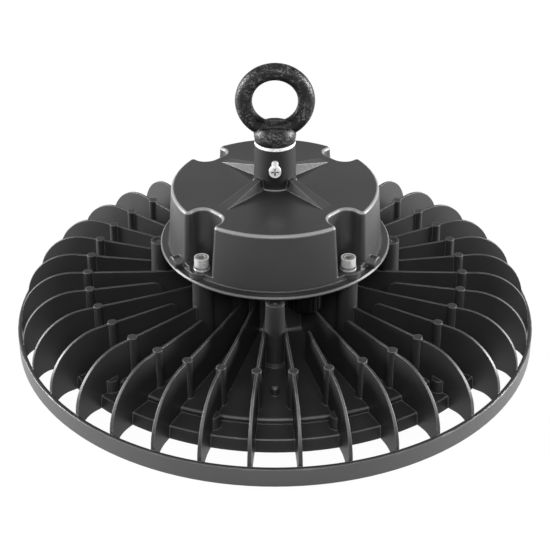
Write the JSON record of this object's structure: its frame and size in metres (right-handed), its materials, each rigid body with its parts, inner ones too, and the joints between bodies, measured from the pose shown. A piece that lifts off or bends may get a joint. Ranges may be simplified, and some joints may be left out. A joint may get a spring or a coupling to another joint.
{
  "type": "high bay light",
  "caption": "Round high bay light: a finned die-cast heatsink ring with an optical plate below, a notched driver housing above and a hanging eye bolt.",
  "frame": {"origin": "centre of the outer ring's lower edge, on the light's axis, in the plane it rests on", "axes": "+Z along the light's axis from the optical plate to the hanging eye; -Y to the front, where the eye's locking screw points"},
  "size_m": [0.31, 0.31, 0.1713],
  "materials": {
    "casting_black": "black powder coat on die-cast aluminium",
    "housing_black": "matte black powder coat on die-cast aluminium",
    "forged_black": "gloss black over a forged surface",
    "zinc_steel": "bright zinc plating",
    "washer_white": "bright plating",
    "clear_plastic": "clear polycarbonate",
    "board_white": "white solder mask",
    "phosphor_yellow": "phosphor-filled silicone",
    "silicone_grey": "matte silicone",
    "rubber_black": "matte",
    "nylon_black": "moulded black nylon",
    "board_green": "green solder mask",
    "ferrite_grey": "sintered ferrite",
    "tape_yellow": "polyester tape",
    "sleeve_black": "shrink sleeve",
    "copper": "enamelled copper wire",
    "terminal_green": "moulded",
    "lead_white": "silicone insulation"
  },
  "bodies": {
    "root": {"heatsink": "casting_black", "led_board": "board_white", "led_chips": "phosphor_yellow", "board_screws": "zinc_steel", "lens_plate": "clear_plastic", "lens_gasket": "silicone_grey", "lens_screws": "zinc_steel", "driver_base": "housing_black", "cover_gasket": "silicone_grey", "driver_cover": "housing_black", "cover_screws": "zinc_steel", "flat_washers": "zinc_steel", "spring_washers": "zinc_steel", "eye_washer": "washer_white", "eye_bolt": "forged_black", "lock_screw": "zinc_steel", "gland_body": "nylon_black", "gland_nut": "nylon_black", "gland_seal": "rubber_black", "gland_ring": "rubber_black", "gland_locknut": "nylon_black", "vent_plug": "nylon_black", "vent_ring": "rubber_black", "vent_nut": "nylon_black", "driver_board": "board_green", "driver_screws": "zinc_steel", "transformer_core": "ferrite_grey", "transformer_winding": "tape_yellow", "capacitors": "sleeve_black", "choke": "copper", "terminal_block": "terminal_green", "led_lead": "lead_white", "lead_grommet": "rubber_black"}
  },
  "joints": []
}
